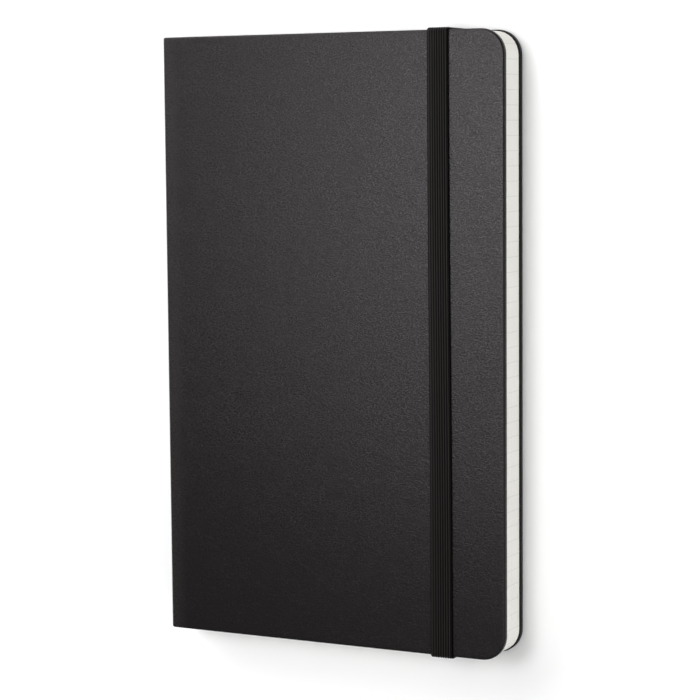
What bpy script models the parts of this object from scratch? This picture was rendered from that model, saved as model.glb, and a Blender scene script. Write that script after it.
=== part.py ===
"""Hard-cover notebook with an elastic closure, lying closed on its back cover.

X runs across the cover from the spine (-X) to the fore-edge (+X), Y runs from the tail (-Y)
to the head (+Y), and Z runs from the back cover up to the front cover. The origin is the
middle of the back cover's outer face.

The case opens about two creases. The spine strip turns on the back crease, and the front
cover turns on the front crease. The front half of the sewn signatures turns over with the
front cover and the rear half stays on the back cover.
"""

import math

import bmesh
import bpy
from mathutils import Vector

MM = 0.001

# Driving dimensions of the case
COVER_WIDTH = 130.0 * MM
COVER_LENGTH = 210.0 * MM
CLOSED_THICKNESS = 16.0 * MM
COVER_CORNER_RADIUS = 8.5 * MM
SKIN = 0.35 * MM
BOARD_THICKNESS = 1.4 * MM
GLUE_GAP = 0.05 * MM
TURN_IN_WIDTH = 12.0 * MM
BROKEN_EDGE_ANGLE = math.radians(50)
SPINE_CARD_THICKNESS = 0.8 * MM
SPINE_RELIEF = 0.15 * MM
CARD_CLEARANCE = 0.5 * MM
LINING_CLEARANCE = 0.1 * MM
LINING_THICKNESS = 0.15 * MM

# Driving dimensions of the page block
SIGNATURE_COUNT = 8
SIGNATURE_THICKNESS = 1.22 * MM
PAGE_RECESS = 0.3 * MM
PAGE_END_RECESS = 0.5 * MM
BLOCK_BACK = 1.8 * MM
ENDPAPER_THICKNESS = 0.15 * MM
PASTEDOWN_INSET = 2.2 * MM

# Driving dimensions of the sewing
SEWING_STATIONS = 5
SEWING_SPACING = 40.0 * MM
THREAD_RADIUS = 0.12 * MM

# Driving dimensions of the rear pocket
POCKET_PANEL_THICKNESS = 0.3 * MM
POCKET_MOUTH_SETBACK = 14.0 * MM
POCKET_INSET = 1.8 * MM
GUSSET_WIDTH = 9.0 * MM
GUSSET_THICKNESS = 0.15 * MM

# Driving dimensions of the elastic band
BAND_WIDTH = 7.8 * MM
BAND_THICKNESS = 0.95 * MM
BAND_FROM_FORE_EDGE = 23.3 * MM
BAND_TAB_THICKNESS = 0.45 * MM
BAND_TAB_LENGTH = 22.0 * MM
BAND_SLOT_CLEARANCE = 0.3 * MM
BAND_END_RADIUS = 0.5 * MM
BAND_EDGE_BREAK = 0.25 * MM

# Sizes that follow from those above
SPINE_X = -COVER_WIDTH / 2
FORE_X = COVER_WIDTH / 2
HALF_LENGTH = COVER_LENGTH / 2
COVER_THICKNESS = 2 * SKIN + BOARD_THICKNESS + 2 * GLUE_GAP
CREASE_DEPTH = 0.1 * MM
CREASE_X = SPINE_X + CREASE_DEPTH
BACK_CREASE_Z = CREASE_DEPTH
FRONT_CREASE_Z = CLOSED_THICKNESS - CREASE_DEPTH
BLOCK_SPINE_X = SPINE_X + BLOCK_BACK
BLOCK_FORE_X = FORE_X - PAGE_RECESS
BLOCK_HALF_LENGTH = HALF_LENGTH - PAGE_END_RECESS
PAGE_CORNER_RADIUS = COVER_CORNER_RADIUS - PAGE_RECESS
BOARD_SPINE_X = BLOCK_SPINE_X
BAND_X = FORE_X - BAND_FROM_FORE_EDGE
OVERSHOOT = 1.0 * MM
CORNER_STEPS = 8

# Heights of the layers, from the back cover up
BACK_PASTEDOWN_Z = COVER_THICKNESS + GLUE_GAP
GUSSET_Z = BACK_PASTEDOWN_Z + ENDPAPER_THICKNESS + GLUE_GAP
POCKET_PANEL_Z = GUSSET_Z + GUSSET_THICKNESS + GLUE_GAP
REAR_FLYLEAF_Z = POCKET_PANEL_Z + POCKET_PANEL_THICKNESS + GLUE_GAP
BLOCK_LOW_Z = REAR_FLYLEAF_Z + ENDPAPER_THICKNESS + GLUE_GAP
FRONT_PASTEDOWN_Z = CLOSED_THICKNESS - COVER_THICKNESS - GLUE_GAP - ENDPAPER_THICKNESS
FRONT_FLYLEAF_Z = FRONT_PASTEDOWN_Z - GLUE_GAP - ENDPAPER_THICKNESS
BLOCK_HIGH_Z = FRONT_FLYLEAF_Z - GLUE_GAP
SIGNATURE_PITCH = (BLOCK_HIGH_Z - BLOCK_LOW_Z - SIGNATURE_THICKNESS) / (SIGNATURE_COUNT - 1)

# Colours: red, green, blue, then roughness
LEATHERETTE = ("leatherette", (0.055, 0.050, 0.052), 0.50)
GREYBOARD = ("greyboard", (0.30, 0.27, 0.23), 0.90)
ENDPAPER = ("endpaper", (0.78, 0.75, 0.66), 0.85)
PAGE = ("page", (0.82, 0.80, 0.73), 0.85)
ELASTIC = ("elastic", (0.018, 0.016, 0.016), 0.75)
CLOTH = ("cloth", (0.05, 0.05, 0.05), 0.90)
LINING = ("lining", (0.70, 0.68, 0.60), 0.95)
THREAD = ("thread", (0.85, 0.83, 0.76), 0.80)


def start_collections():
    for old in list(bpy.data.objects):
        bpy.data.objects.remove(old, do_unlink=True)
    parts = bpy.data.collections.new("notebook")
    cutters = bpy.data.collections.new("cutters")
    bpy.context.scene.collection.children.link(parts)
    bpy.context.scene.collection.children.link(cutters)
    return parts, cutters


PARTS, CUTTERS = start_collections()


def give_material(piece, finish):
    label, colour, roughness = finish
    material = bpy.data.materials.new(piece.name + "_" + label)
    material.use_nodes = True
    shader = material.node_tree.nodes["Principled BSDF"]
    shader.inputs["Base Color"].default_value = (*colour, 1.0)
    shader.inputs["Roughness"].default_value = roughness
    shader.inputs["Metallic"].default_value = 0.0
    piece.data.materials.append(material)


def mark_as_cutter(piece):
    piece.hide_render = True
    piece.display_type = "WIRE"


def add_axis(name, x, z, parent=None):
    """Empty on a joint axis that runs along Y."""
    axis = bpy.data.objects.new(name, None)
    PARTS.objects.link(axis)
    axis.location = (x, 0.0, z)
    bpy.context.view_layer.update()
    if parent is not None:
        hang(axis, parent)
    return axis


def hang(piece, parent):
    """Parent a piece to an axis and leave it where it stands."""
    bpy.context.view_layer.update()
    piece.parent = parent
    piece.matrix_parent_inverse = parent.matrix_world.inverted()


def curve_to_mesh(curve_piece, collection):
    """Turn a filled curve into a welded mesh object of the same name and place."""
    name = curve_piece.name
    bpy.context.view_layer.update()
    graph = bpy.context.evaluated_depsgraph_get()
    mesh = bpy.data.meshes.new_from_object(curve_piece.evaluated_get(graph))
    place = curve_piece.matrix_world.copy()
    bpy.data.objects.remove(curve_piece, do_unlink=True)
    welded = bmesh.new()
    welded.from_mesh(mesh)
    bmesh.ops.remove_doubles(welded, verts=welded.verts, dist=0.001 * MM)
    bmesh.ops.recalc_face_normals(welded, faces=welded.faces)
    welded.to_mesh(mesh)
    welded.free()
    mesh.materials.clear()
    piece = bpy.data.objects.new(name, mesh)
    piece.matrix_world = place
    collection.objects.link(piece)
    return piece


def add_box(name, low, high, collection):
    """Box between two corners, with its origin at its middle."""
    low, high = Vector(low), Vector(high)
    mesh = bpy.data.meshes.new(name)
    cube = bmesh.new()
    bmesh.ops.create_cube(cube, size=1.0)
    bmesh.ops.scale(cube, vec=high - low, verts=cube.verts)
    cube.to_mesh(mesh)
    cube.free()
    piece = bpy.data.objects.new(name, mesh)
    piece.location = (low + high) / 2
    collection.objects.link(piece)
    return piece


def rounded_outline(spine_x, fore_x, half_length, radius):
    """Points of a leaf outline, square at the spine and round at the fore-edge."""
    points = [(spine_x, -half_length)]
    for side in (-1, 1):
        for step in range(CORNER_STEPS + 1):
            part = step if side < 0 else CORNER_STEPS - step
            angle = math.radians(90) * part / CORNER_STEPS
            x = fore_x - radius + radius * math.sin(angle)
            y = side * (half_length - radius + radius * math.cos(angle))
            points.append((x, y))
    points.append((spine_x, half_length))
    return points


def add_profile(name, points, thickness, collection):
    """Flat plate in its own XY plane inside a straight-sided outline."""
    curve = bpy.data.curves.new(name, "CURVE")
    curve.dimensions = "2D"
    curve.fill_mode = "BOTH"
    curve.extrude = thickness / 2
    spline = curve.splines.new("POLY")
    spline.points.add(len(points) - 1)
    for point, (x, y) in zip(spline.points, points):
        point.co = (x, y, 0.0, 1.0)
    spline.use_cyclic_u = True
    piece = bpy.data.objects.new(name, curve)
    collection.objects.link(piece)
    return piece


def add_leaf(name, spine_x, fore_x, half_length, low_z, high_z, radius, collection):
    """Flat plate with a leaf outline between two heights."""
    points = rounded_outline(spine_x, fore_x, half_length, radius)
    piece = add_profile(name, points, high_z - low_z, collection)
    piece.location = (0.0, 0.0, (low_z + high_z) / 2)
    return curve_to_mesh(piece, collection)


def cut(piece, cutter):
    mark_as_cutter(cutter)
    boolean = piece.modifiers.new("cut_" + cutter.name, "BOOLEAN")
    boolean.operation = "DIFFERENCE"
    boolean.solver = "EXACT"
    boolean.object = cutter


def break_edges(piece, width):
    bevel = piece.modifiers.new("broken_edges", "BEVEL")
    bevel.width = width
    bevel.segments = 1
    bevel.limit_method = "ANGLE"
    bevel.angle_limit = BROKEN_EDGE_ANGLE


class Cover:
    """Heights inside one cover, counted from its outer face towards the pages."""

    def __init__(self, name, outer_z, inward):
        self.name = name
        self.outer_z = outer_z
        self.inward = inward

    def span(self, near, far):
        """World heights, low then high, between two depths below the outer face."""
        ends = (self.outer_z + self.inward * near, self.outer_z + self.inward * far)
        return min(ends), max(ends)

    def board(self):
        low_z, high_z = self.span(SKIN + GLUE_GAP, SKIN + GLUE_GAP + BOARD_THICKNESS)
        inset = SKIN + GLUE_GAP
        board = add_leaf(
            self.name + "_board",
            BOARD_SPINE_X,
            FORE_X - inset,
            HALF_LENGTH - inset,
            low_z,
            high_z,
            COVER_CORNER_RADIUS - inset,
            PARTS,
        )
        give_material(board, GREYBOARD)
        return board

    def leatherette(self):
        """Skin over the outer face, down three edges and turned in over the board."""
        low_z, high_z = self.span(0.0, COVER_THICKNESS)
        skin = add_leaf(
            self.name + "_leatherette",
            SPINE_X,
            FORE_X,
            HALF_LENGTH,
            low_z,
            high_z,
            COVER_CORNER_RADIUS,
            PARTS,
        )
        low_z, high_z = self.span(SKIN, COVER_THICKNESS - SKIN)
        cavity = add_leaf(
            self.name + "_board_cavity",
            SPINE_X - OVERSHOOT,
            FORE_X - SKIN,
            HALF_LENGTH - SKIN,
            low_z,
            high_z,
            COVER_CORNER_RADIUS - SKIN,
            CUTTERS,
        )
        cut(skin, cavity)
        low_z, high_z = self.span(COVER_THICKNESS - SKIN - GLUE_GAP, COVER_THICKNESS + OVERSHOOT)
        window_y = HALF_LENGTH - TURN_IN_WIDTH
        window = add_box(
            self.name + "_turn_in_window",
            (SPINE_X - OVERSHOOT, -window_y, low_z),
            (FORE_X - TURN_IN_WIDTH, window_y, high_z),
            CUTTERS,
        )
        cut(skin, window)
        low_z, high_z = self.span(SKIN + GLUE_GAP / 2, COVER_THICKNESS + OVERSHOOT)
        relief = add_box(
            self.name + "_spine_relief",
            (SPINE_X - OVERSHOOT, -HALF_LENGTH - OVERSHOOT, low_z),
            (SPINE_X + SKIN + SPINE_RELIEF, HALF_LENGTH + OVERSHOOT, high_z),
            CUTTERS,
        )
        cut(skin, relief)
        give_material(skin, LEATHERETTE)
        return skin

    def pastedown(self):
        low_z, high_z = self.span(
            COVER_THICKNESS + GLUE_GAP,
            COVER_THICKNESS + GLUE_GAP + ENDPAPER_THICKNESS,
        )
        sheet = add_leaf(
            self.name + "_pastedown",
            BLOCK_SPINE_X,
            FORE_X - PASTEDOWN_INSET,
            HALF_LENGTH - PASTEDOWN_INSET,
            low_z,
            high_z,
            COVER_CORNER_RADIUS - PASTEDOWN_INSET,
            PARTS,
        )
        give_material(sheet, ENDPAPER)
        return sheet


def cut_band_slots(board, skin):
    """Recess in the board and notch in the skin for each end of the band."""
    tab_low_z = COVER_THICKNESS - SKIN - GLUE_GAP - BAND_TAB_THICKNESS - GLUE_GAP
    half_width = BAND_WIDTH / 2 + BAND_SLOT_CLEARANCE
    for end, side in (("head", 1), ("tail", -1)):
        inner_y = side * (HALF_LENGTH - BAND_TAB_LENGTH - BAND_SLOT_CLEARANCE)
        outer_y = side * (HALF_LENGTH + OVERSHOOT)
        slot = add_box(
            "band_slot_" + end,
            (BAND_X - half_width, min(inner_y, outer_y), tab_low_z),
            (BAND_X + half_width, max(inner_y, outer_y), COVER_THICKNESS + OVERSHOOT),
            CUTTERS,
        )
        cut(board, slot)
        cut(skin, slot)


def add_band_end(end, side):
    """End of the band: a tab glued in the board's recess and a riser over the edge."""
    tab_low = COVER_THICKNESS - SKIN - GLUE_GAP - BAND_TAB_THICKNESS
    tab_high = tab_low + BAND_TAB_THICKNESS
    riser_top = CLOSED_THICKNESS - GLUE_GAP
    inner = HALF_LENGTH + GLUE_GAP
    outer = inner + BAND_THICKNESS
    tab_end = HALF_LENGTH - BAND_TAB_LENGTH
    corner = BAND_END_RADIUS
    profile = [
        (tab_end, tab_low),
        (outer - corner, tab_low),
        (outer, tab_low + corner),
        (outer, riser_top),
        (inner, riser_top),
        (inner, tab_high),
        (tab_end, tab_high),
    ]
    points = [(y * side, z) for y, z in profile]
    piece = add_profile("elastic_end_" + end, points, BAND_WIDTH, PARTS)
    piece.rotation_euler = (math.radians(90), 0.0, math.radians(90))
    piece.location = (BAND_X, 0.0, 0.0)
    piece = curve_to_mesh(piece, PARTS)
    give_material(piece, ELASTIC)
    return piece


def add_strand():
    """Straight run of the band across the front cover."""
    half_run = HALF_LENGTH + GLUE_GAP + BAND_THICKNESS
    low_z = CLOSED_THICKNESS + GLUE_GAP
    strand = add_box(
        "elastic_strand",
        (BAND_X - BAND_WIDTH / 2, -half_run, low_z),
        (BAND_X + BAND_WIDTH / 2, half_run, low_z + BAND_THICKNESS),
        PARTS,
    )
    break_edges(strand, BAND_EDGE_BREAK)
    give_material(strand, ELASTIC)
    return strand


def add_spine():
    """Spine skin, spine card, lining glued to the block, and the sewing on it."""
    skin_x = SPINE_X + SKIN
    skin = add_box(
        "spine_leatherette",
        (SPINE_X, -HALF_LENGTH, SKIN + 2 * GLUE_GAP),
        (skin_x, HALF_LENGTH, CLOSED_THICKNESS - SKIN - 2 * GLUE_GAP),
        PARTS,
    )
    give_material(skin, LEATHERETTE)
    card_low_z = COVER_THICKNESS + CARD_CLEARANCE
    card_x = skin_x + GLUE_GAP
    card = add_box(
        "spine_card",
        (card_x, -HALF_LENGTH + SKIN + GLUE_GAP, card_low_z),
        (card_x + SPINE_CARD_THICKNESS, HALF_LENGTH - SKIN - GLUE_GAP, CLOSED_THICKNESS - card_low_z),
        PARTS,
    )
    give_material(card, GREYBOARD)
    lining_x = card_x + SPINE_CARD_THICKNESS + GLUE_GAP
    lining_low_z = card_low_z + LINING_CLEARANCE
    lining = add_box(
        "spine_lining",
        (lining_x, -BLOCK_HALF_LENGTH + TURN_IN_WIDTH, lining_low_z),
        (lining_x + LINING_THICKNESS, BLOCK_HALF_LENGTH - TURN_IN_WIDTH, CLOSED_THICKNESS - lining_low_z),
        PARTS,
    )
    give_material(lining, LINING)
    thread_x = lining_x + LINING_THICKNESS + GLUE_GAP + THREAD_RADIUS
    thread = add_sewing(thread_x)
    return [skin, card, lining, thread]


def add_sewing(thread_x):
    """One thread that climbs the back of the block at each sewing station in turn."""
    name = "sewing_thread"
    ends = [BLOCK_LOW_Z, BLOCK_HIGH_Z]
    route = []
    for station in range(SEWING_STATIONS):
        station_y = (station - (SEWING_STATIONS - 1) / 2) * SEWING_SPACING
        route += [(thread_x, station_y, z, 1.0) for z in ends]
        ends.reverse()
    curve = bpy.data.curves.new(name, "CURVE")
    curve.dimensions = "3D"
    curve.bevel_depth = THREAD_RADIUS
    curve.bevel_resolution = 2
    curve.use_fill_caps = True
    spline = curve.splines.new("POLY")
    spline.points.add(len(route) - 1)
    for point, place in zip(spline.points, route):
        point.co = place
    piece = bpy.data.objects.new(name, curve)
    PARTS.objects.link(piece)
    piece = curve_to_mesh(piece, PARTS)
    give_material(piece, THREAD)
    return piece


def add_page(name, low_z, thickness, finish):
    sheet = add_leaf(
        name,
        BLOCK_SPINE_X,
        BLOCK_FORE_X,
        BLOCK_HALF_LENGTH,
        low_z,
        low_z + thickness,
        PAGE_CORNER_RADIUS,
        PARTS,
    )
    give_material(sheet, finish)
    return sheet


def add_signatures(front_hinge):
    """Sewn signatures, counted from the front, each on its own turning axis at the spine."""
    half_count = SIGNATURE_COUNT // 2
    for number in range(1, SIGNATURE_COUNT + 1):
        low_z = BLOCK_HIGH_Z - SIGNATURE_THICKNESS - (number - 1) * SIGNATURE_PITCH
        signature = add_page("signature_" + str(number), low_z, SIGNATURE_THICKNESS, PAGE)
        in_front_half = number <= half_count
        axis_z = low_z + SIGNATURE_THICKNESS if in_front_half else low_z
        pieces = [signature]
        if number == 1:
            pieces.append(add_page("front_flyleaf", FRONT_FLYLEAF_Z, ENDPAPER_THICKNESS, ENDPAPER))
            axis_z = FRONT_FLYLEAF_Z + ENDPAPER_THICKNESS
        if number == SIGNATURE_COUNT:
            pieces.append(add_page("rear_flyleaf", REAR_FLYLEAF_Z, ENDPAPER_THICKNESS, ENDPAPER))
            axis_z = REAR_FLYLEAF_Z
        axis = add_axis("turn_axis_" + str(number), BLOCK_SPINE_X, axis_z)
        for piece in pieces:
            hang(piece, axis)
        if in_front_half:
            hang(axis, front_hinge)


def add_pocket():
    """Rear pocket, shut flat: a card panel with a folded cloth gusset at each end."""
    fore_x = FORE_X - PASTEDOWN_INSET - POCKET_INSET
    mouth_x = SPINE_X + POCKET_MOUTH_SETBACK
    half_length = HALF_LENGTH - PASTEDOWN_INSET - POCKET_INSET
    corner = COVER_CORNER_RADIUS - PASTEDOWN_INSET - POCKET_INSET
    panel = add_leaf(
        "pocket_panel",
        mouth_x,
        fore_x,
        half_length,
        POCKET_PANEL_Z,
        POCKET_PANEL_Z + POCKET_PANEL_THICKNESS,
        corner,
        PARTS,
    )
    give_material(panel, ENDPAPER)
    for end, side in (("head", 1), ("tail", -1)):
        edges = sorted((side * half_length, side * (half_length - GUSSET_WIDTH)))
        gusset = add_box(
            "pocket_gusset_" + end,
            (mouth_x, edges[0], GUSSET_Z),
            (fore_x - corner, edges[1], GUSSET_Z + GUSSET_THICKNESS),
            PARTS,
        )
        give_material(gusset, CLOTH)


back = Cover("back_cover", 0.0, 1)
front = Cover("front_cover", CLOSED_THICKNESS, -1)
back_crease = add_axis("back_crease_axis", CREASE_X, BACK_CREASE_Z)
front_crease = add_axis("front_crease_axis", CREASE_X, FRONT_CREASE_Z, parent=back_crease)

back_board = back.board()
back_skin = back.leatherette()
cut_band_slots(back_board, back_skin)
back.pastedown()
add_pocket()

for front_piece in (front.board(), front.leatherette(), front.pastedown()):
    hang(front_piece, front_crease)
for spine_piece in add_spine():
    hang(spine_piece, back_crease)
add_signatures(front_crease)

band_slide = add_axis("band_slide_axis", BAND_X, CLOSED_THICKNESS)
hang(add_strand(), band_slide)
add_band_end("head", 1)
add_band_end("tail", -1)
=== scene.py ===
"""Looks of the hard-cover notebook: a leatherette case, sewn leaves and a ribbed elastic band.

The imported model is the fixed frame. Lengths are in metres, apart from the camera's lens and
sensor, and every place on the notebook is worked out from the boxes of the frame's nodes.
"""

import math
import random

import bmesh
import bpy
import numpy as np
from mathutils import Matrix, Vector


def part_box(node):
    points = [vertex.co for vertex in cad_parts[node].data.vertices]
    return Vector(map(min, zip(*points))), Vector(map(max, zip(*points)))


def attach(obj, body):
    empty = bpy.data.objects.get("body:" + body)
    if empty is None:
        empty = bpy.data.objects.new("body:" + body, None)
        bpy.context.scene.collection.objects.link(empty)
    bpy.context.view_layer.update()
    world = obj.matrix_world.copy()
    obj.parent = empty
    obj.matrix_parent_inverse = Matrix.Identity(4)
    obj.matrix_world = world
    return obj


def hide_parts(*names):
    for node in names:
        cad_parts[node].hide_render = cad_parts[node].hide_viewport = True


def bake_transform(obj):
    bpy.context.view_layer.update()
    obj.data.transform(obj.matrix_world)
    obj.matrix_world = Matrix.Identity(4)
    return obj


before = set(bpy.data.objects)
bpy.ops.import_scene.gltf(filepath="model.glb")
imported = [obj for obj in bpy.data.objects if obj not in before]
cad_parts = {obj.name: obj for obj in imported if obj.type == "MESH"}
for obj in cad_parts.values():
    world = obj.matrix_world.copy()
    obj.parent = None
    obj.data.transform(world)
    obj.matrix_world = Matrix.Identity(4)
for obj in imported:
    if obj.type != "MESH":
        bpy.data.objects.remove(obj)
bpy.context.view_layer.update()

MM = 0.001

# Case, from the frame
back_low, back_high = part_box("back_cover_leatherette")
front_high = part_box("front_cover_leatherette")[1]
SPINE_X = back_low.x
FORE_X = back_high.x
HALF_LENGTH = back_high.y
CLOSED_THICKNESS = front_high.z - back_low.z
COVER_THICKNESS = back_high.z - back_low.z

# Leatherette
SKIN = 0.35 * MM
CORNER_RADIUS = 8.5 * MM
CREASE_RADIUS = 1.5 * MM
OUTER_EDGE_RADIUS = 0.62 * MM
INNER_EDGE_RADIUS = 0.36 * MM
TURN_IN = 6.0 * MM
SPINE_HEM_DEPTH = 1.15 * MM
SPINE_HEM = 0.45 * MM
BOARD_SPINE_X = SPINE_X + 1.8 * MM
SPINE_HEM_X = BOARD_SPINE_X - 0.2 * MM
# The flat face keeps two rows of points near its edge, at these distances
RIM_NEAR = 1.4 * MM
RIM_FAR = 4.0 * MM
SHARP_ANGLE = math.radians(40)
# Painted light: the skin is painted paler within this reach of the crease, where the rounded spine
# edge would catch the light
CREASE_REACH = 8.0 * MM
# A face lies on the board's edge when the upright part of its normal is below this
EDGE_FACE_TILT = 0.9

# How finely the case is divided
SPINE_STEPS = 5
CREASE_STEPS = 8
COVER_STEPS = 24
ACROSS_STEPS = 24
CORNER_STEPS = 12
INNER_EDGE_STEPS = 4
OUTER_EDGE_STEPS = 6

# Leaves: their last stretch at the spine, GUTTER_DEPTH long, is a piece of its own, and
# LEAF_SWING_ROOM keeps them clear of it as they swing
LEAVES_PER_SIGNATURE = 15
SIGNATURE_COUNT = 8
GUTTER_DEPTH = 0.3 * MM
GUTTER_ROWS = 22
LEAF_GAP = 0.008 * MM
LEAF_JITTER = 0.035 * MM
LEAF_SEED = 11
LEAF_SWING_ROOM = 0.06 * MM
LEAF_CORNER_STEPS = 7
LEAF_PITCH = (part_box("signature_1")[0].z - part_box("signature_2")[0].z) / LEAVES_PER_SIGNATURE

# Elastic band: its face
BAND_EDGE = 0.35 * MM
BAND_RIBS = 8
RIB_SAMPLES = 8
RIB_HEIGHT = 0.28 * MM
# The ribs have FLAT_SIDE of their height on the spine side and all of it from 1 / RIB_RISE of
# the way across. The material darkens the flat side by FLAT_SHADE instead
FLAT_SIDE = 0.15
RIB_RISE = 2.2
FLAT_SHADE = 0.16
# The rounded edges, each point as its place across, its height, its groove and its painted shade;
# the fore side's edge is painted darkest, as its side wall in shade
BAND_SPINE_EDGE = [(-0.995, 0.15, 0.5, 0.5), (-0.975, 0.55, 0.4, 0.4), (-0.93, 0.82, 0.1, 0.3)]
BAND_FORE_EDGE = [(0.93, 0.82, 0.1, 0.1), (0.975, 0.55, 0.8, 0.8), (0.995, 0.15, 1.0, 1.0)]

# Elastic band: its route. It leans to the spine and gets narrower towards the head
BAND_LEAN = 0.3 * MM
BAND_LEAN_RATE = 2.0
BAND_TAPER = 0.025
BAND_EDGE_GAP = 0.05 * MM
BAND_END_THICKNESS = 0.45 * MM
BAND_RISER_THICKNESS = 0.68 * MM
BAND_END_REACH = 22.0 * MM
BAND_STRAIGHT = 4.0 * MM
BAND_RUN_IN = 3.0 * MM
BAND_RUN_STEPS = 12
LOW_BEND_RADIUS = 0.5 * MM
LOW_BEND_STEPS = 6
TOP_BEND_RADIUS = 1.1 * MM
TOP_BEND_STEPS = 10

# Points closer than this are one point; the leaves in the gutter are thinner and take less
WELD = 0.0005 * MM
GUTTER_WELD = 0.0001 * MM

# Grain of the leatherette. The pebbles stand out where their texture is low, hence the sign
GRAIN_WANDER = 0.7 * MM
PEBBLE_STRETCH = (0.72, 1.4, 1.0)
WRINKLE_STRETCH = (0.62, 1.7, 1.0)
PEBBLE_DEPTH = -0.10 * MM
WRINKLE_DEPTH = 0.16 * MM
PORE_DEPTH = 0.04 * MM
PORE_SHARE = 0.5
BLOTCH_SHARE = 0.35
LEAST_PATCH_RELIEF = 0.75
GRAIN_SPAN = (0.05, 0.62)
# The grain's pits are painted darker than its ridges, as shade in the hollows
LEATHER_PIT_SHADE = (0.0020, 0.0016, 0.0016, 1.0)
LEATHER_RIDGE = (0.0100, 0.0080, 0.0087, 1.0)
LEATHER_BLOTCH = (0.0040, 0.0032, 0.0033, 1.0)
# Painted light near the crease, where the rounded spine edge would catch the light
LEATHER_PAINTED_CREASE_LIGHT = (0.0290, 0.0245, 0.0238, 1.0)
# Painted shade for the board's edge
LEATHER_PAINTED_SHADE = (0.0020, 0.0016, 0.0015, 1.0)
LEATHER_SHEEN = (1.0, 0.95, 0.985, 1.0)
PIT_ROUGHNESS = 0.34
RIDGE_ROUGHNESS = 0.20
# Share of the painted light near the crease
CREASE_LIGHT_SHARE = 0.55
# The grain gets shallower between these two places towards the tail, down to a share of its depth
TAIL_FLAT_Y = -0.9 * HALF_LENGTH
TAIL_FULL_Y = -0.2 * HALF_LENGTH
TAIL_GRAIN = 0.6
# Nearly all values of a noise lie in the wide span, most of them in the narrow one
NOISE_SPAN = (0.35, 0.65)
WIDE_NOISE_SPAN = (0.3, 0.7)

# Woven elastic
WEFT_PITCH = 0.42 * MM
WEFT_DEPTH = 0.02 * MM
FUZZ_DEPTH = 0.03 * MM
WEAVE_STREAKS = (900.0, 30.0, 30.0)
ELASTIC_DARK = (0.0095, 0.0078, 0.0072, 1.0)
ELASTIC_LIGHT = (0.0190, 0.0158, 0.0146, 1.0)
# Near black for the painted shade in the band's grooves and along its edges
ELASTIC_PAINTED_SHADE = (0.0012, 0.0010, 0.0009, 1.0)
ELASTIC_ROUGHNESS = (0.28, 0.38)
SHADE_SPAN = (0.05, 0.32)
SHADE_SHARE = 0.96

# Paper and its ruling
RULING = 5.0 * MM
RULING_SHIFT = RULING * 100
LINE_CORE = 0.07 * MM
LINE_EDGE = 0.13 * MM
LINE_SHARE = 0.28
LINE_COLOUR = (0.33, 0.36, 0.40, 1.0)
PAGE_LIGHT = (0.81, 0.80, 0.76, 1.0)
PAGE_DARK = (0.78, 0.77, 0.73, 1.0)
ENDPAPER_LIGHT = (0.86, 0.85, 0.81, 1.0)
ENDPAPER_DARK = (0.83, 0.82, 0.78, 1.0)
FIBRE_DEPTH = 0.02 * MM

# Board, cloth and thread
BOARD_DARK = (0.20, 0.18, 0.155, 1.0)
BOARD_LIGHT = (0.36, 0.33, 0.28, 1.0)
BOARD_PLY_STRETCH = (1.0, 1.0, 4.0)
FLECK_DEPTH = 0.08 * MM
WEAVE_DEPTH = 0.06 * MM

# Studio
FLOOR_HALF_SIDE = 14.0
FLOOR_GAP = 0.05 * MM
FLOOR_COLOUR = (0.95, 0.95, 0.95, 1.0)
WHITE = (1.0, 1.0, 1.0, 1.0)
WORLD_STRENGTH = 0.18

# Camera: a long lens over the fore-edge side, aimed near the middle of the front cover
CAMERA_DISTANCE = 0.7810
CAMERA_TOWARDS_FORE = math.radians(26.99)
CAMERA_TOWARDS_HEAD = math.radians(6.20)
CAMERA_ROLL = math.radians(0.47)
CAMERA_AIM = Vector((3.9 * MM, -3.2 * MM, CLOSED_THICKNESS / 2))
CAMERA_LENS = 116.6
CAMERA_SENSOR = 36.0
CAMERA_CLIP_START = 0.05


# ---------------------------------------------------------------- mesh helpers


def new_object(name, vertices, faces, smooth=True):
    mesh = bpy.data.meshes.new(name)
    mesh.from_pydata([tuple(v) for v in vertices], [], faces)
    mesh.validate()
    piece = bpy.data.objects.new(name, mesh)
    bpy.context.scene.collection.objects.link(piece)
    if smooth:
        mesh.shade_smooth()
    return piece


def weld(piece, outward=None, distance=WELD):
    """Merge doubled vertices and point the faces one way, outward if that is given."""
    shape = bmesh.new()
    shape.from_mesh(piece.data)
    bmesh.ops.remove_doubles(shape, verts=shape.verts, dist=distance)
    bmesh.ops.dissolve_degenerate(shape, edges=shape.edges, dist=distance)
    bmesh.ops.recalc_face_normals(shape, faces=shape.faces)
    if outward is not None:
        largest = max(shape.faces, key=lambda face: face.calc_area())
        if largest.normal.dot(Vector(outward)) < 0:
            bmesh.ops.reverse_faces(shape, faces=shape.faces)
    shape.to_mesh(piece.data)
    shape.free()


def apply_modifiers(piece):
    graph = bpy.context.evaluated_depsgraph_get()
    finished = bpy.data.meshes.new_from_object(piece.evaluated_get(graph))
    piece.modifiers.clear()
    piece.data = finished


def store_rest(piece):
    """Keep each vertex's place at rest, which the materials read, so they bend with the piece."""
    mesh = piece.data
    rest = mesh.attributes.new("rest", "FLOAT_VECTOR", "POINT")
    places = np.empty(len(mesh.vertices) * 3, np.float32)
    mesh.vertices.foreach_get("co", places)
    rest.data.foreach_set("vector", places)


def store_values(piece, name, values):
    """Keep one number for each vertex, for the materials."""
    piece.data.attributes.new(name, "FLOAT", "POINT").data.foreach_set("value", values)


def grid_faces(rows, columns, start=0):
    """Quads of a grid of vertices laid out row by row."""
    faces = []
    for row in range(rows - 1):
        for column in range(columns - 1):
            corner = start + row * columns + column
            faces.append((corner, corner + 1, corner + columns + 1, corner + columns))
    return faces


def arc(steps):
    """Sine and cosine pairs over a quarter turn."""
    angles = [math.radians(90) * step / steps for step in range(steps + 1)]
    return [(math.sin(angle), math.cos(angle)) for angle in angles]


# ---------------------------------------------------------------- node helpers


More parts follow.
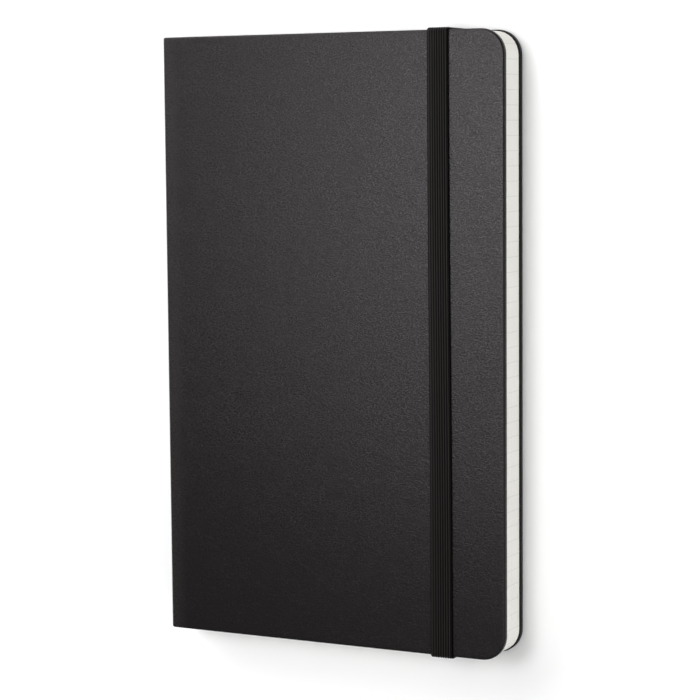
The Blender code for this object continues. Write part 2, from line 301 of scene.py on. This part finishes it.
class Nodes:
    """Thin wrapper that adds and links shader nodes in one line."""

    def __init__(self, name):
        self.material = bpy.data.materials.new(name)
        self.material.use_nodes = True
        self.tree = self.material.node_tree
        self.shader = self.tree.nodes["Principled BSDF"]

    def add(self, kind, inputs=(), **settings):
        node = self.tree.nodes.new(kind)
        for key, value in settings.items():
            setattr(node, key, value)
        for socket, value in dict(inputs).items():
            self.feed(node.inputs[socket], value)
        return node

    def feed(self, socket, value):
        if isinstance(value, bpy.types.NodeSocket):
            self.tree.links.new(value, socket)
        else:
            socket.default_value = value

    def place(self, from_attribute):
        """Rest place in metres: an attribute on modelled pieces, the object's own on CAD nodes."""
        if from_attribute:
            return self.add("ShaderNodeAttribute", attribute_name="rest").outputs["Vector"]
        return self.add("ShaderNodeTexCoord").outputs["Object"]

    def stored(self, name):
        """One number that store_values kept for each vertex."""
        return self.add("ShaderNodeAttribute", attribute_name=name).outputs["Fac"]

    def split(self, place):
        return self.add("ShaderNodeSeparateXYZ", {"Vector": place}).outputs

    def math(self, operation, first, second=0.0):
        node = self.add("ShaderNodeMath", operation=operation)
        self.feed(node.inputs[0], first)
        self.feed(node.inputs[1], second)
        return node.outputs["Value"]

    def threads(self, place, pitch):
        """Sine of a place, with one wave for each thread."""
        return self.math("SINE", self.math("MULTIPLY", place, 2.0 * math.pi / pitch))

    def noise(self, place, scale, detail=2.0, roughness=0.5):
        inputs = {"Vector": place, "Scale": scale, "Detail": detail, "Roughness": roughness}
        return self.add("ShaderNodeTexNoise", inputs).outputs["Fac"]

    def stretch(self, place, scale):
        return self.add("ShaderNodeMapping", {"Vector": place, "Scale": scale}).outputs["Vector"]

    def remap(self, value, span, new_low, new_high):
        inputs = {0: value, 1: span[0], 2: span[1], 3: new_low, 4: new_high}
        return self.add("ShaderNodeMapRange", inputs).outputs["Result"]

    def mix(self, factor, first, second):
        node = self.add("ShaderNodeMix", data_type="RGBA")
        self.feed(node.inputs[0], factor)
        self.feed(node.inputs[6], first)
        self.feed(node.inputs[7], second)
        return node.outputs[2]

    def bump(self, height, distance, strength=1.0, under=None):
        inputs = {"Height": height, "Distance": distance, "Strength": strength}
        if under is not None:
            inputs["Normal"] = under
        return self.add("ShaderNodeBump", inputs).outputs["Normal"]

    def finish(self, colour, roughness, normal=None, **constants):
        for name, value in (("Base Color", colour), ("Roughness", roughness), ("Normal", normal)):
            if value is not None:
                self.feed(self.shader.inputs[name], value)
        for name, value in constants.items():
            self.shader.inputs[name.replace("_", " ")].default_value = value
        return self.material


# ---------------------------------------------------------------- materials


def leatherette_material(name, painted_edge_shade, specular):
    """Charcoal leatherette: fine wrinkles running across the cover, over small pebbles.

    It has painted light near the crease: a paler tone where the rounded spine edge would catch the
    light. Its pits are painted darker, as shade in the grain's hollows, and its grain gets
    shallower towards the tail. On the board's edge a given share of painted shade darkens it, and
    the specular level differs there.
    """
    nodes = Nodes(name)
    place = nodes.place(from_attribute=True)
    drift = nodes.add("ShaderNodeTexNoise", {"Vector": place, "Scale": 700.0, "Detail": 2.0})
    wander = nodes.add("ShaderNodeVectorMath", operation="MULTIPLY_ADD")
    nodes.feed(wander.inputs[0], drift.outputs["Color"])
    nodes.feed(wander.inputs[1], (GRAIN_WANDER, GRAIN_WANDER, GRAIN_WANDER))
    nodes.feed(wander.inputs[2], place)
    wandering = wander.outputs["Vector"]
    pebble_place = nodes.stretch(wandering, PEBBLE_STRETCH)
    pebble = nodes.add(
        "ShaderNodeTexVoronoi",
        {"Vector": pebble_place, "Scale": 1800.0, "Smoothness": 0.3},
        feature="SMOOTH_F1",
    ).outputs["Distance"]
    wrinkle_place = nodes.stretch(wandering, WRINKLE_STRETCH)
    wrinkle = nodes.noise(wrinkle_place, scale=1300.0, detail=5.0, roughness=0.66)
    pores = nodes.noise(place, scale=4200.0, detail=3.0, roughness=0.6)
    blotch = nodes.noise(place, scale=45.0, detail=4.0, roughness=0.6)
    patch = nodes.noise(place, scale=160.0)
    ridges = nodes.math("ADD", wrinkle, nodes.math("MULTIPLY", pores, PORE_SHARE))
    grain = nodes.math("SUBTRACT", ridges, pebble)
    # The pits are painted darker than the ridges, as shade in the grain's hollows
    tone = nodes.mix(nodes.remap(grain, GRAIN_SPAN, 0.0, 1.0), LEATHER_PIT_SHADE, LEATHER_RIDGE)
    tone = nodes.mix(nodes.remap(blotch, NOISE_SPAN, BLOTCH_SHARE, 0.0), tone, LEATHER_BLOTCH)
    # Painted light: paler near the crease, where the rounded spine edge would catch the light
    crease_light = nodes.math("MULTIPLY", nodes.stored("crease"), CREASE_LIGHT_SHARE)
    tone = nodes.mix(crease_light, tone, LEATHER_PAINTED_CREASE_LIGHT)
    # Painted shade on the board's edge, by the given share
    tone = nodes.mix(painted_edge_shade, tone, LEATHER_PAINTED_SHADE)
    roughness = nodes.remap(grain, GRAIN_SPAN, PIT_ROUGHNESS, RIDGE_ROUGHNESS)
    along = nodes.split(place)["Y"]
    relief = nodes.remap(along, (TAIL_FLAT_Y, TAIL_FULL_Y), TAIL_GRAIN, 1.0)
    patch_relief = nodes.remap(patch, NOISE_SPAN, LEAST_PATCH_RELIEF, 1.0)
    wrinkle_relief = nodes.math("MULTIPLY", relief, patch_relief)
    pebble_height = nodes.math("MULTIPLY", pebble, relief)
    wrinkle_height = nodes.math("MULTIPLY", wrinkle, wrinkle_relief)
    pore_height = nodes.math("MULTIPLY", pores, relief)
    normal = nodes.bump(pebble_height, PEBBLE_DEPTH, strength=0.45)
    normal = nodes.bump(wrinkle_height, WRINKLE_DEPTH, strength=0.6, under=normal)
    normal = nodes.bump(pore_height, PORE_DEPTH, strength=0.5, under=normal)
    return nodes.finish(
        tone,
        roughness,
        normal,
        Specular_IOR_Level=specular,
        Specular_Tint=LEATHER_SHEEN,
    )


def elastic_material():
    """Black woven elastic: cross threads between the moulded ribs, with painted shade in the
    grooves and along the edges.
    """
    nodes = Nodes("woven_elastic")
    place = nodes.place(from_attribute=True)
    parts = nodes.split(place)
    weft = nodes.threads(nodes.math("ADD", parts["Y"], parts["Z"]), WEFT_PITCH)
    fuzz = nodes.noise(place, scale=6000.0, detail=3.0, roughness=0.7)
    uneven = nodes.noise(nodes.stretch(place, WEAVE_STREAKS), scale=1.0)
    shade = nodes.stored("shade")
    tone = nodes.mix(uneven, ELASTIC_DARK, ELASTIC_LIGHT)
    # Painted shade: the grooves and edges darken towards near black; the flat side is a little
    # darker too
    tone = nodes.mix(nodes.remap(shade, SHADE_SPAN, 0.0, SHADE_SHARE), tone, ELASTIC_PAINTED_SHADE)
    normal = nodes.bump(weft, WEFT_DEPTH, strength=0.5)
    normal = nodes.bump(fuzz, FUZZ_DEPTH, strength=0.6, under=normal)
    roughness = nodes.remap(fuzz, WIDE_NOISE_SPAN, *ELASTIC_ROUGHNESS)
    roughness = nodes.math("MAXIMUM", roughness, nodes.remap(shade, SHADE_SPAN, 0.0, 1.0))
    return nodes.finish(tone, roughness, normal, Specular_IOR_Level=0.12)


def paper_nodes(name, light, dark, from_attribute):
    """Cloudy paper with a fibrous surface."""
    nodes = Nodes(name)
    place = nodes.place(from_attribute)
    fibre = nodes.noise(place, scale=1800.0, detail=4.0, roughness=0.7)
    cloud = nodes.noise(place, scale=60.0, detail=3.0)
    tone = nodes.mix(nodes.remap(cloud, WIDE_NOISE_SPAN, 0.0, 1.0), light, dark)
    normal = nodes.bump(fibre, FIBRE_DEPTH, strength=0.35)
    return nodes, place, tone, normal


def page_material():
    """Ivory paper ruled in squares; the lines run out to the edges of the leaf."""
    nodes, place, tone, normal = paper_nodes(
        "squared_page",
        PAGE_LIGHT,
        PAGE_DARK,
        from_attribute=True,
    )
    parts = nodes.split(place)
    ink = None
    for axis in ("X", "Y"):
        # The shift is a whole number of squares and keeps the place above zero
        from_line = nodes.math("PINGPONG", nodes.math("ADD", parts[axis], RULING_SHIFT), RULING / 2)
        line = nodes.remap(from_line, (LINE_CORE, LINE_EDGE), 1.0, 0.0)
        ink = line if ink is None else nodes.math("MAXIMUM", ink, line)
    tone = nodes.mix(nodes.math("MULTIPLY", ink, LINE_SHARE), tone, LINE_COLOUR)
    return nodes.finish(tone, roughness=0.9, normal=normal, Specular_IOR_Level=0.2)


def endpaper_material():
    nodes, _, tone, normal = paper_nodes(
        "endpaper",
        ENDPAPER_LIGHT,
        ENDPAPER_DARK,
        from_attribute=False,
    )
    return nodes.finish(tone, roughness=0.85, normal=normal, Specular_IOR_Level=0.25)


def greyboard_material():
    """Flecked grey board, pressed in plies."""
    nodes = Nodes("greyboard")
    place = nodes.place(from_attribute=False)
    fleck_place = nodes.stretch(place, BOARD_PLY_STRETCH)
    fleck = nodes.noise(fleck_place, scale=900.0, detail=4.0, roughness=0.7)
    tone = nodes.mix(nodes.remap(fleck, NOISE_SPAN, 0.0, 1.0), BOARD_DARK, BOARD_LIGHT)
    normal = nodes.bump(fleck, FLECK_DEPTH, strength=0.6)
    return nodes.finish(tone, roughness=0.95, normal=normal, Specular_IOR_Level=0.2)


def cloth_material(name, dark, light, pitch):
    """Plain weave from two crossed sets of threads."""
    nodes = Nodes(name)
    parts = nodes.split(nodes.place(from_attribute=False))
    warp = nodes.threads(nodes.math("ADD", parts["X"], parts["Z"]), pitch)
    weft = nodes.threads(parts["Y"], pitch)
    weave = nodes.remap(nodes.math("MULTIPLY", warp, weft), (-1.0, 1.0), 0.0, 1.0)
    tone = nodes.mix(weave, dark, light)
    normal = nodes.bump(weave, WEAVE_DEPTH, strength=0.7)
    return nodes.finish(tone, roughness=0.9, normal=normal, Specular_IOR_Level=0.2)


LEATHERETTE = leatherette_material("leatherette", painted_edge_shade=0.0, specular=0.325)
# The board's edge: painted shade, 0.6 of the way to near black, and a lower specular level
LEATHERETTE_SHADED_EDGE = leatherette_material("leatherette_shaded_edge", painted_edge_shade=0.6, specular=0.12)
ELASTIC = elastic_material()
PAGE = page_material()


def dress(piece, material):
    piece.data.materials.clear()
    piece.data.materials.append(material)


# ---------------------------------------------------------------- case


def case_stations():
    """Outer surface of the case from mid-spine to the fore-edge corners.

    Each station is its x, its depth below the outer face, the way into the board as an
    x and a depth part, and how deep and how wide the turn-in is there.
    """
    stations = []
    half = CLOSED_THICKNESS / 2
    spine_turn = (SPINE_HEM_DEPTH, SPINE_HEM)
    for step in range(SPINE_STEPS):
        depth = half + (CREASE_RADIUS - half) * step / SPINE_STEPS
        stations.append((SPINE_X, depth, 1.0, 0.0, *spine_turn))
    for sine, cosine in arc(CREASE_STEPS):
        x = SPINE_X + CREASE_RADIUS * (1 - cosine)
        depth = CREASE_RADIUS * (1 - sine)
        stations.append((x, depth, cosine, sine, *spine_turn))
    stations.append((SPINE_HEM_X, 0.0, 0.0, 1.0, *spine_turn))
    cover_turn = (COVER_THICKNESS, TURN_IN)
    turn_x = FORE_X - CORNER_RADIUS
    for step in range(COVER_STEPS + 1):
        x = BOARD_SPINE_X + (turn_x - BOARD_SPINE_X) * step / COVER_STEPS
        stations.append((x, 0.0, 0.0, 1.0, *cover_turn))
    return stations


def case_section(depth, turn_in):
    """Inset from the edge and depth below the outer face, from the turn-in up to the rim."""
    inner, outer = INNER_EDGE_RADIUS, OUTER_EDGE_RADIUS
    section = [(turn_in, depth), ((turn_in + inner) / 2, depth)]
    section += [(inner * (1 - s), depth - inner * (1 - c)) for s, c in arc(INNER_EDGE_STEPS)]
    section += [(outer * (1 - c), outer * (1 - s)) for s, c in arc(OUTER_EDGE_STEPS)]
    section += [(RIM_NEAR, 0.0), (RIM_FAR, 0.0)]
    return section


def case_row(section, tail_point):
    """One row from the tail turn-in over the face to the head turn-in."""
    tail = [tail_point(inset, depth) for inset, depth in section]
    head = [(x, -y, w) for x, y, w in reversed(tail)]
    (x, low_y, w), high_y = tail[-1], head[0][1]
    steps = range(1, ACROSS_STEPS)
    middle = [(x, low_y + (high_y - low_y) * step / ACROSS_STEPS, w) for step in steps]
    return tail + middle + head


def store_crease_light(piece, outer_z):
    """How near each point is to the crease, from 1 on it to 0 at CREASE_REACH and beyond: the mask
    of the painted light there.
    """
    values = []
    for vertex in piece.data.vertices:
        away = math.hypot(vertex.co.x - SPINE_X, vertex.co.z - outer_z)
        values.append(max(0.0, 1.0 - away / CREASE_REACH) ** 2)
    store_values(piece, "crease", values)


def case_half(name, outer_z, inward):
    """Leatherette of one cover with its half of the spine, turned in along the edges."""
    rows = []
    for x, w, into_x, into_w, depth, turn_in in case_stations():

        def prismatic(inset, below, x=x, w=w, into_x=into_x, into_w=into_w):
            return x + into_x * below, -(HALF_LENGTH - inset), w + into_w * below

        rows.append(case_row(case_section(depth, turn_in), prismatic))
    section = case_section(COVER_THICKNESS, TURN_IN)
    centre_x, centre_y = FORE_X - CORNER_RADIUS, HALF_LENGTH - CORNER_RADIUS
    for sine, cosine in arc(CORNER_STEPS)[1:]:

        def rounded(inset, below, sine=sine, cosine=cosine):
            radius = CORNER_RADIUS - inset
            return centre_x + radius * sine, -(centre_y + radius * cosine), below

        rows.append(case_row(section, rounded))
    points = [point for row in rows for point in row]
    faces = grid_faces(len(rows), len(rows[0]))
    start = len(points)
    for step in range(ACROSS_STEPS + 1):
        y = centre_y * (2 * step / ACROSS_STEPS - 1)
        points += [(FORE_X - inset, y, below) for inset, below in section]
    faces += grid_faces(ACROSS_STEPS + 1, len(section), start)
    vertices = [(x, y, outer_z + inward * w) for x, y, w in points]
    piece = new_object(name, vertices, faces)
    weld(piece, outward=(0, 0, -inward))
    skin = piece.modifiers.new("skin", "SOLIDIFY")
    skin.thickness = SKIN
    skin.offset = -1.0
    apply_modifiers(piece)
    piece.data.shade_smooth()
    piece.data.set_sharp_from_angle(angle=SHARP_ANGLE)
    store_rest(piece)
    store_crease_light(piece, outer_z)
    dress(piece, LEATHERETTE)
    # Faces on the board's edge take the leatherette with painted shade
    piece.data.materials.append(LEATHERETTE_SHADED_EDGE)
    for face in piece.data.polygons:
        shaded_edge_face = abs(face.normal.z) < EDGE_FACE_TILT and face.center.x > BOARD_SPINE_X
        face.material_index = 1 if shaded_edge_face else 0
    return piece


def build_case():
    back = case_half("back_case_leather", back_low.z, 1)
    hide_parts("back_cover_leatherette", "spine_leatherette")
    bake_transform(back)
    front = case_half("front_case_leather", front_high.z, -1)
    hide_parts("front_cover_leatherette")
    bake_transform(front)


# ---------------------------------------------------------------- leaves


def leaf_outline(spine_x, fore_x, half_length, radius):
    """Corner points of one leaf, square at the spine and round at the fore-edge."""
    points = [(spine_x, -half_length)]
    turns = arc(LEAF_CORNER_STEPS)
    for side in (-1, 1):
        for sine, cosine in turns if side < 0 else reversed(turns):
            x = fore_x - radius + radius * sine
            points.append((x, side * (half_length - radius + radius * cosine)))
    points.append((spine_x, half_length))
    return points


def build_signature(number, rng):
    """Separate leaves, cut flush but never quite even."""
    node = "signature_" + str(number)
    low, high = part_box(node)
    spine_x = low.x + GUTTER_DEPTH + LEAF_SWING_ROOM
    radius = CORNER_RADIUS - (FORE_X - high.x)
    vertices, faces = [], []
    for leaf in range(LEAVES_PER_SIGNATURE):
        fore_x = high.x - rng.uniform(0.0, LEAF_JITTER)
        half_length = high.y - rng.uniform(0.0, LEAF_JITTER)
        outline = leaf_outline(spine_x, fore_x, half_length, radius)
        low_z = low.z + leaf * LEAF_PITCH
        start, count = len(vertices), len(outline)
        for z in (low_z, low_z + LEAF_PITCH - LEAF_GAP):
            vertices += [(x, y, z) for x, y in outline]
        faces.append(tuple(start + i for i in reversed(range(count))))
        faces.append(tuple(start + count + i for i in range(count)))
        for i in range(count):
            j = (i + 1) % count
            faces.append((start + i, start + j, start + count + j, start + count + i))
    piece = new_object("leaves_of_" + node, vertices, faces, smooth=False)
    store_rest(piece)
    dress(piece, PAGE)
    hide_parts(node)
    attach(piece, "leaves_" + str(number))


def build_gutter(name, numbers, leaves_at_a):
    """Spine ends of half the leaves.

    Shut, they fill the last stretch between the leaves and the spine lining.
    """
    vertices, faces = [], []
    for number in numbers:
        low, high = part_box("signature_" + str(number))
        for leaf in range(LEAVES_PER_SIGNATURE):
            low_z = low.z + leaf * LEAF_PITCH
            high_z = low_z + LEAF_PITCH - 2 * LEAF_GAP
            start = len(vertices)
            ring = [
                (-high.y, low_z),
                (high.y, low_z),
                (high.y, high_z),
                (-high.y, high_z),
                (-high.y, low_z),
            ]
            for row in range(GUTTER_ROWS):
                x = low.x + GUTTER_DEPTH * row / (GUTTER_ROWS - 1)
                vertices += [(x, y, z) for y, z in ring]
            faces += grid_faces(GUTTER_ROWS, len(ring), start)
            last = start + (GUTTER_ROWS - 1) * len(ring)
            faces.append((start + 3, start + 2, start + 1, start))
            faces.append((last, last + 1, last + 2, last + 3))
    piece = new_object(name, vertices, faces, smooth=False)
    weld(piece, distance=GUTTER_WELD)
    store_rest(piece)
    dress(piece, PAGE)
    spine_end = Vector((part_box("signature_1")[0].x, 0, 0))
    leaf_end = spine_end + Vector((GUTTER_DEPTH, 0, 0))
    start, end = (leaf_end, spine_end) if leaves_at_a else (spine_end, leaf_end)
    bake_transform(piece)


def build_leaves():
    rng = random.Random(LEAF_SEED)
    numbers = range(1, SIGNATURE_COUNT + 1)
    for number in numbers:
        build_signature(number, rng)
    half = SIGNATURE_COUNT // 2
    build_gutter("front_gutter", numbers[:half], leaves_at_a=False)
    build_gutter("rear_gutter", numbers[half:], leaves_at_a=True)


# ---------------------------------------------------------------- elastic band


def band_route(strand_low, strand_high, end_low_z):
    """Middle line of the band as y, z, the way out of its face, and its thickness."""
    thickness = strand_high.z - strand_low.z
    thin, riser = BAND_END_THICKNESS, BAND_RISER_THICKNESS
    tight, bend = LOW_BEND_RADIUS, TOP_BEND_RADIUS
    y_out = HALF_LENGTH + BAND_EDGE_GAP + riser / 2
    z_top = strand_high.z - thickness / 2
    z_end = end_low_z + thin / 2
    half = [
        (y_out - BAND_END_REACH, z_end, 0.0, -1.0, thin),
        (y_out - BAND_STRAIGHT, z_end, 0.0, -1.0, thin),
    ]
    for sine, cosine in arc(LOW_BEND_STEPS):
        y = y_out - tight + tight * sine
        z = z_end + tight - tight * cosine
        half.append((y, z, sine, -cosine, thin + (riser - thin) * sine))
    half.append((y_out, z_end + BAND_STRAIGHT, 1.0, 0.0, riser))
    half.append((y_out, (z_end + z_top) / 2, 1.0, 0.0, riser))
    for sine, cosine in arc(TOP_BEND_STEPS):
        y = y_out - bend + bend * cosine
        z = z_top - bend + bend * sine
        half.append((y, z, cosine, sine, riser + (thickness - riser) * sine))
    run = y_out - bend - BAND_RUN_IN
    for step in range(BAND_RUN_STEPS):
        half.append((run - run * step / BAND_RUN_STEPS, z_top, 0.0, 1.0, thickness))
    other = [(-y, z, -out_y, out_z, size) for y, z, out_y, out_z, size in reversed(half)]
    return half + [(0.0, z_top, 0.0, 1.0, thickness)] + other


def band_profile(width):
    """Across the band's face: place and height from -1 to 1, depth of groove, and painted shade,
    deepest in the grooves; the flat side is darker too.
    """
    ribbed = 1.0 - 2.0 * BAND_EDGE / width
    samples = BAND_RIBS * RIB_SAMPLES
    face = []
    for step in range(samples + 1):
        across = ribbed * (2 * step / samples - 1)
        groove = 1.0 - abs(math.sin(math.pi * BAND_RIBS * step / samples))
        evenness = FLAT_SIDE + (1.0 - FLAT_SIDE) * min(1.0, RIB_RISE * step / samples)
        # Painted shade in the grooves, and a darker flat side
        shade = groove * evenness + FLAT_SHADE * (1.0 - evenness)
        face.append((across, 1.0, groove * evenness, shade))
    return BAND_SPINE_EDGE + face + BAND_FORE_EDGE


def build_band():
    low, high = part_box("elastic_strand")
    end_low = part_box("elastic_end_head")[0]
    centre_x = (low.x + high.x) / 2
    half_width = (high.x - low.x) / 2
    route = band_route(low, high, end_low.z)
    profile = band_profile(high.x - low.x)
    vertices, shades = [], []
    for y, z, out_y, out_z, thickness in route:
        lean = -BAND_LEAN * math.tanh(BAND_LEAN_RATE * y / HALF_LENGTH)
        spread = half_width * (1.0 - BAND_TAPER * y / HALF_LENGTH)
        for side in (1, -1):
            for across, height, groove, shade in profile if side > 0 else reversed(profile):
                x = centre_x + lean + spread * across
                reach = side * (thickness / 2 * height - RIB_HEIGHT * groove)
                vertices.append((x, y + out_y * reach, z + out_z * reach))
                shades.append(shade)
    ring = 2 * len(profile)
    faces = []
    for row in range(len(route) - 1):
        here, there = row * ring, (row + 1) * ring
        for column in range(ring):
            after = (column + 1) % ring
            faces.append((here + column, here + after, there + after, there + column))
    last = (len(route) - 1) * ring
    faces.append(tuple(reversed(range(ring))))
    faces.append(tuple(last + i for i in range(ring)))
    piece = new_object("elastic_band", vertices, faces)
    store_rest(piece)
    # The painted shade of each point, for the elastic's material
    store_values(piece, "shade", shades)
    dress(piece, ELASTIC)
    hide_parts("elastic_strand", "elastic_end_head", "elastic_end_tail")
    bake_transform(piece)


# ---------------------------------------------------------------- CAD nodes that stay


def dress_nodes():
    """Better materials on the boards, endpapers, pocket, lining and thread."""
    endpaper = endpaper_material()
    greyboard = greyboard_material()
    gusset = cloth_material(
        "gusset_cloth",
        dark=(0.012, 0.012, 0.012, 1),
        light=(0.05, 0.05, 0.05, 1),
        pitch=0.5 * MM,
    )
    lining = cloth_material(
        "lining_cloth",
        dark=(0.42, 0.40, 0.34, 1),
        light=(0.74, 0.72, 0.64, 1),
        pitch=0.9 * MM,
    )
    thread = cloth_material(
        "thread",
        dark=(0.62, 0.60, 0.52, 1),
        light=(0.88, 0.86, 0.79, 1),
        pitch=0.25 * MM,
    )
    pastedowns = ("back_cover_pastedown", "front_cover_pastedown")
    finishes = {
        endpaper: pastedowns + ("front_flyleaf", "rear_flyleaf", "pocket_panel"),
        greyboard: ("back_cover_board", "front_cover_board", "spine_card"),
        gusset: ("pocket_gusset_head", "pocket_gusset_tail"),
        lining: ("spine_lining",),
        thread: ("sewing_thread",),
    }
    for material, names in finishes.items():
        for name in names:
            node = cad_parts[name]
            node.data.materials.clear()
            node.data.materials.append(material)


# ---------------------------------------------------------------- studio


def build_floor():
    half = FLOOR_HALF_SIDE
    corners = [(-half, -half, 0), (half, -half, 0), (half, half, 0), (-half, half, 0)]
    floor = new_object("floor", corners, [(0, 1, 2, 3)], smooth=False)
    floor.location.z = back_low.z - FLOOR_GAP
    nodes = Nodes("studio_floor")
    finish = nodes.finish(FLOOR_COLOUR, roughness=0.9, Specular_IOR_Level=0.0)
    floor.data.materials.append(finish)


def add_light(name, place, size, power):
    """Rectangular lamp that points at the middle of the notebook; its power is in watts."""
    lamp = bpy.data.lights.new(name, "AREA")
    lamp.shape = "RECTANGLE"
    lamp.size, lamp.size_y = size
    lamp.energy = power
    piece = bpy.data.objects.new(name, lamp)
    piece.location = place
    piece.rotation_euler = (-Vector(place)).to_track_quat("-Z", "Y").to_euler()
    bpy.context.scene.collection.objects.link(piece)


def build_lights():
    add_light("key", place=(-0.12, 0.105, 0.66), size=(0.36, 0.25), power=2.05)
    add_light("side", place=(-0.85, 1.05, 0.65), size=(1.8, 1.4), power=24.0)
    add_light("fill", place=(1.20, -0.35, 0.50), size=(1.6, 1.0), power=10.2)
    add_light("overhead", place=(1.80, -0.80, 6.0), size=(4.8, 6.0), power=90.0)
    world = bpy.data.worlds.new("studio")
    world.use_nodes = True
    background = world.node_tree.nodes["Background"]
    background.inputs["Color"].default_value = WHITE
    background.inputs["Strength"].default_value = WORLD_STRENGTH
    bpy.context.scene.world = world


def build_camera():
    """Camera above the fore-edge side, turned so that the head of the notebook is up."""
    tilts = (math.tan(CAMERA_TOWARDS_FORE), math.tan(CAMERA_TOWARDS_HEAD), 1.0)
    away = Vector(tilts).normalized()
    forward = -away
    right = forward.cross(Vector((0, 1, 0))).normalized()
    up = right.cross(forward)
    up = up * math.cos(CAMERA_ROLL) + right * math.sin(CAMERA_ROLL)
    right = forward.cross(up)
    camera_data = bpy.data.cameras.new("camera")
    camera_data.sensor_width = CAMERA_SENSOR
    camera_data.lens = CAMERA_LENS
    camera_data.clip_start = CAMERA_CLIP_START
    camera = bpy.data.objects.new("camera", camera_data)
    camera.location = CAMERA_AIM + away * CAMERA_DISTANCE
    camera.rotation_euler = Matrix((right, up, away)).transposed().to_euler()
    bpy.context.scene.collection.objects.link(camera)
    bpy.context.scene.camera = camera
    bpy.context.scene.view_settings.view_transform = "Standard"


build_camera()
build_case()
build_leaves()
build_band()
dress_nodes()
build_floor()
build_lights()
